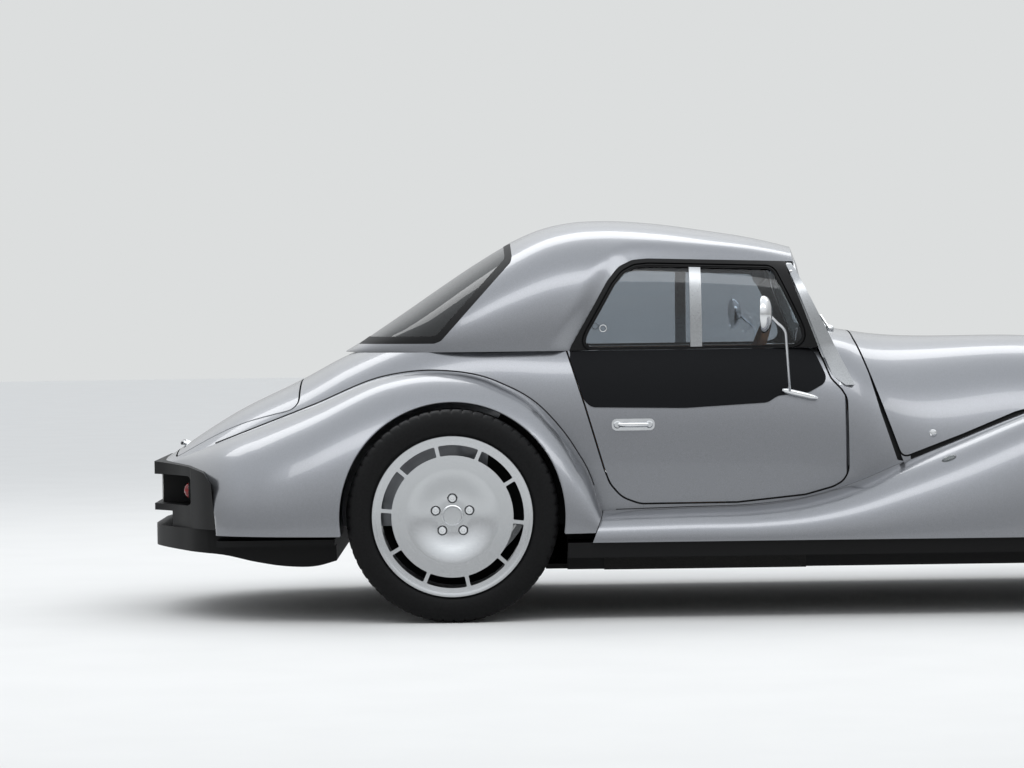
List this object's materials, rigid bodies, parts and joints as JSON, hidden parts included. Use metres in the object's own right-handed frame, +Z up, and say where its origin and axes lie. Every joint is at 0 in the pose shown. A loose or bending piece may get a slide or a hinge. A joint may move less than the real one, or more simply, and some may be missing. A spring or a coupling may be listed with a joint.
{
  "type": "two-seat roadster with fitted hard top",
  "caption": "Silver two-seat roadster with flowing separate wings, fitted hard top, side screens, machined disc wheels and opening doors, bonnet and boot lid.",
  "frame": {"origin": "middle of the bounding box on the ground", "axes": "+X to the front of the car, +Y to its left, +Z up"},
  "size_m": [4.14, 1.8282, 1.3],
  "materials": {
    "paint": "silver-grey metallic paint under clear lacquer",
    "black_trim": "satin black moulding",
    "dark_metal": "dark coated steel",
    "chrome": "bright chrome plate",
    "alloy": "machined and lacquered alloy",
    "tyre": "black moulded rubber",
    "clear_glass": "clear glass",
    "dark_glass": "dark tinted glass",
    "red_lens": "red moulded lens",
    "tan_leather": "tan grained leather",
    "screen_frame": "dark anodised frame with black flap"
  },
  "bodies": {
    "car": {"chassis_tub": "dark_metal", "bulkheads": "dark_metal", "engine": "dark_metal", "scuttle": "paint", "nose_cowl": "paint", "grille": "chrome", "front_splitter": "black_trim", "headlamps": "chrome", "headlamp_lenses": "clear_glass", "front_wing_right": "paint", "front_wing_left": "paint", "rear_wing_right": "paint", "rear_wing_left": "paint", "rear_body": "paint", "rear_fascia": "black_trim", "tail_lamps": "red_lens", "undertray": "black_trim", "side_skirts": "black_trim", "hardtop": "paint", "rear_window": "dark_glass", "windscreen_frame": "paint", "windscreen": "clear_glass", "hinge_pins": "dark_metal", "seat_right": "tan_leather", "seat_left": "tan_leather", "dash": "tan_leather", "front_axle": "dark_metal", "rear_axle": "dark_metal"},
    "steer_right": {"knuckle_right": "dark_metal"},
    "steer_left": {"knuckle_left": "dark_metal"},
    "wheel_front_right": {"rim_front_right": "alloy", "tyre_front_right": "tyre"},
    "wheel_front_left": {"rim_front_left": "alloy", "tyre_front_left": "tyre"},
    "wheel_rear_right": {"rim_rear_right": "alloy", "tyre_rear_right": "tyre"},
    "wheel_rear_left": {"rim_rear_left": "alloy", "tyre_rear_left": "tyre"},
    "door_right": {"door_right": "paint", "side_screen_right": "screen_frame", "side_glass_right": "clear_glass", "door_fittings_right": "chrome"},
    "door_left": {"door_left": "paint", "side_screen_left": "screen_frame", "side_glass_left": "clear_glass", "door_fittings_left": "chrome"},
    "bonnet": {"bonnet": "paint"},
    "boot_lid": {"boot_lid": "paint"},
    "steering_wheel": {"steering_wheel": "black_trim"}
  },
  "joints": [
    {"name": "steer_right", "type": "hinge", "parent": "car", "child": "steer_right", "pos_m": [1.46, -0.758, 0.335], "axis": [0, 0, 1], "range_deg": [-30, 30]},
    {"name": "steer_left", "type": "hinge", "parent": "car", "child": "steer_left", "pos_m": [1.46, 0.758, 0.335], "axis": [0, 0, 1], "range_deg": [-30, 30]},
    {"name": "steering_wheel", "type": "hinge", "parent": "car", "child": "steering_wheel", "pos_m": [-0.06, -0.305, 0.8], "axis": [0.9397, 0, -0.342], "range_deg": [-420, 420]},
    {"name": "spin_front_right", "type": "hinge", "parent": "steer_right", "child": "wheel_front_right", "pos_m": [1.46, -0.758, 0.335], "axis": [0, 1, 0], "continuous": true},
    {"name": "spin_front_left", "type": "hinge", "parent": "steer_left", "child": "wheel_front_left", "pos_m": [1.46, 0.758, 0.335], "axis": [0, 1, 0], "continuous": true},
    {"name": "spin_rear_right", "type": "hinge", "parent": "car", "child": "wheel_rear_right", "pos_m": [-1.06, -0.757, 0.343], "axis": [0, 1, 0], "continuous": true},
    {"name": "spin_rear_left", "type": "hinge", "parent": "car", "child": "wheel_rear_left", "pos_m": [-1.06, 0.757, 0.343], "axis": [0, 1, 0], "continuous": true},
    {"name": "door_right", "type": "hinge", "parent": "car", "child": "door_right", "pos_m": [0.233, -0.64698, 0.48], "axis": [0, 0.0913, 0.9958], "range_deg": [0, 62]},
    {"name": "door_left", "type": "hinge", "parent": "car", "child": "door_left", "pos_m": [0.233, 0.64698, 0.48], "axis": [0, 0.0913, -0.9958], "range_deg": [0, 62]},
    {"name": "bonnet", "type": "hinge", "parent": "car", "child": "bonnet", "pos_m": [1.88, 0, 0.77172], "axis": [0, 1, 0], "range_deg": [0, 50]},
    {"name": "boot_lid", "type": "hinge", "parent": "car", "child": "boot_lid", "pos_m": [-1.573, 0, 0.7738], "axis": [0, 1, 0], "range_deg": [0, 65]}
  ],
  "couplings": [
    {"joint": "steer_left", "follows": "steer_right", "ratio": 1},
    {"joint": "steering_wheel", "follows": "steer_right", "ratio": -14}
  ]
}
